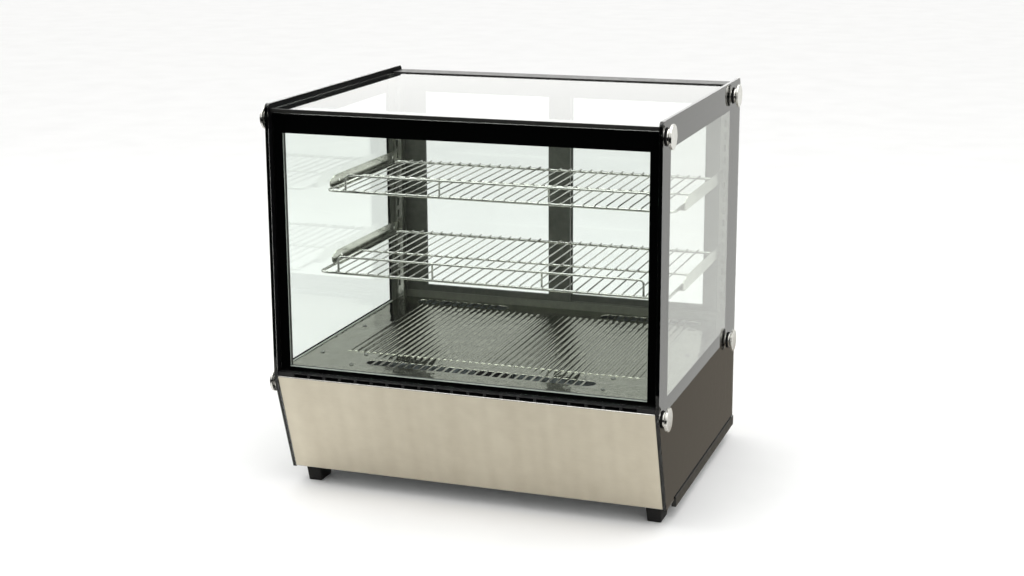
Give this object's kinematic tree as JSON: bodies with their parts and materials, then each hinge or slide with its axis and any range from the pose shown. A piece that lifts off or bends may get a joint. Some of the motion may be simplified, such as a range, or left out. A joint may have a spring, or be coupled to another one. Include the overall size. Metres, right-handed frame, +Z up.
{
  "type": "hot food display case",
  "caption": "Countertop glass display case for hot food, with wire shelves, sliding rear doors and a fan-heated ventilated base.",
  "frame": {"origin": "middle of the footprint on the counter, under the feet", "axes": "+X to the customer's right, +Y from the customer's side to the serving side, +Z up"},
  "size_m": [0.702, 0.568, 0.686],
  "materials": {
    "clear_glass": "clear toughened float glass, faint green edge",
    "door_glass": "clear toughened glass",
    "lamp_cover": "frosted",
    "display_window": "smoked gloss",
    "black_enamel": "black enamel seen through glass",
    "black_frame": "satin black powder coat",
    "black_plastic": "moulded",
    "grey_plastic": "moulded",
    "white_nylon": "moulded",
    "switch_red": "translucent",
    "switch_green": "translucent",
    "polished_metal": "polished",
    "black_rubber": "moulded",
    "stainless": "brushed",
    "plated_wire": "bright plated wire",
    "galvanised_steel": "zinc coated",
    "heater_sheath": "oxidised sheath",
    "lamp_housing": "satin",
    "wire_insulation": "insulated wire"
  },
  "bodies": {
    "case": {"air_duct": "galvanised_steel", "air_probe": "plated_wire", "chassis": "galvanised_steel", "clamp_knobs": "polished_metal", "controller_body": "black_plastic", "controller_window": "display_window", "cord_gland": "black_plastic", "deck": "stainless", "fan_housing": "black_plastic", "feet": "black_rubber", "front_frame": "black_frame", "front_glass": "clear_glass", "front_panel": "stainless", "front_print": "black_enamel", "heater_element": "heater_sheath", "inner_wiring": "wire_insulation", "knob_washers": "black_rubber", "left_rear_post": "black_frame", "left_shelf_upright": "stainless", "left_side_glass": "clear_glass", "left_side_print": "black_enamel", "left_side_rail": "black_frame", "light_cover": "lamp_cover", "light_driver": "lamp_housing", "light_housing": "lamp_housing", "louvre_strip": "black_plastic", "lower_door_track": "black_plastic", "lower_shelf_brackets": "stainless", "panel_screws": "plated_wire", "rear_header": "black_frame", "rear_panel": "stainless", "right_rear_post": "black_frame", "right_shelf_upright": "stainless", "right_side_glass": "clear_glass", "right_side_print": "black_enamel", "right_side_rail": "black_frame", "switch_bodies": "black_plastic", "terminal_block": "white_nylon", "top_front_trim": "black_frame", "top_glass": "clear_glass", "upper_door_track": "black_plastic", "upper_shelf_brackets": "stainless"},
    "left_door": {"left_door_frame": "black_frame", "left_door_glass": "door_glass", "left_door_pull": "black_plastic", "left_door_glides": "white_nylon"},
    "right_door": {"right_door_frame": "black_frame", "right_door_glass": "door_glass", "right_door_pull": "black_plastic", "right_door_glides": "white_nylon"},
    "upper_shelf_body": {"upper_shelf": "plated_wire", "upper_shelf_rail": "plated_wire"},
    "lower_shelf_body": {"lower_shelf": "plated_wire", "lower_shelf_rail": "plated_wire"},
    "fan_rotor_body": {"fan_rotor": "black_plastic"},
    "set_button_body": {"set_button": "grey_plastic"},
    "up_button_body": {"up_button": "grey_plastic"},
    "down_button_body": {"down_button": "grey_plastic"},
    "power_rocker_body": {"power_rocker": "switch_red"},
    "light_rocker_body": {"light_rocker": "switch_green"}
  },
  "joints": [
    {"name": "left_door_slide", "type": "slide", "parent": "case", "child": "left_door", "axis": [1, 0, 0], "range_m": [0, 0.29]},
    {"name": "right_door_slide", "type": "slide", "parent": "case", "child": "right_door", "axis": [-1, 0, 0], "range_m": [0, 0.29]},
    {"name": "upper_shelf_lift", "type": "slide", "parent": "case", "child": "upper_shelf_body", "axis": [0, 0, 1], "range_m": [0, 0.1]},
    {"name": "lower_shelf_lift", "type": "slide", "parent": "case", "child": "lower_shelf_body", "axis": [0, 0, 1], "range_m": [0, 0.07]},
    {"name": "fan_spin", "type": "hinge", "parent": "case", "child": "fan_rotor_body", "pos_m": [0, -0.1165, 0.1915], "axis": [0, 1, 0], "continuous": true},
    {"name": "set_button_press", "type": "slide", "parent": "case", "child": "set_button_body", "axis": [0, -1, 0], "range_m": [0, 0.001], "stiffness_N_per_m": 400},
    {"name": "up_button_press", "type": "slide", "parent": "case", "child": "up_button_body", "axis": [0, -1, 0], "range_m": [0, 0.001], "stiffness_N_per_m": 400},
    {"name": "down_button_press", "type": "slide", "parent": "case", "child": "down_button_body", "axis": [0, -1, 0], "range_m": [0, 0.001], "stiffness_N_per_m": 400},
    {"name": "power_rocker_tilt", "type": "hinge", "parent": "case", "child": "power_rocker_body", "pos_m": [-0.13, 0.2575, 0.122], "axis": [-1, 0, 0], "range_deg": [0, 18]},
    {"name": "light_rocker_tilt", "type": "hinge", "parent": "case", "child": "light_rocker_body", "pos_m": [-0.096, 0.2575, 0.122], "axis": [-1, 0, 0], "range_deg": [0, 18]}
  ]
}
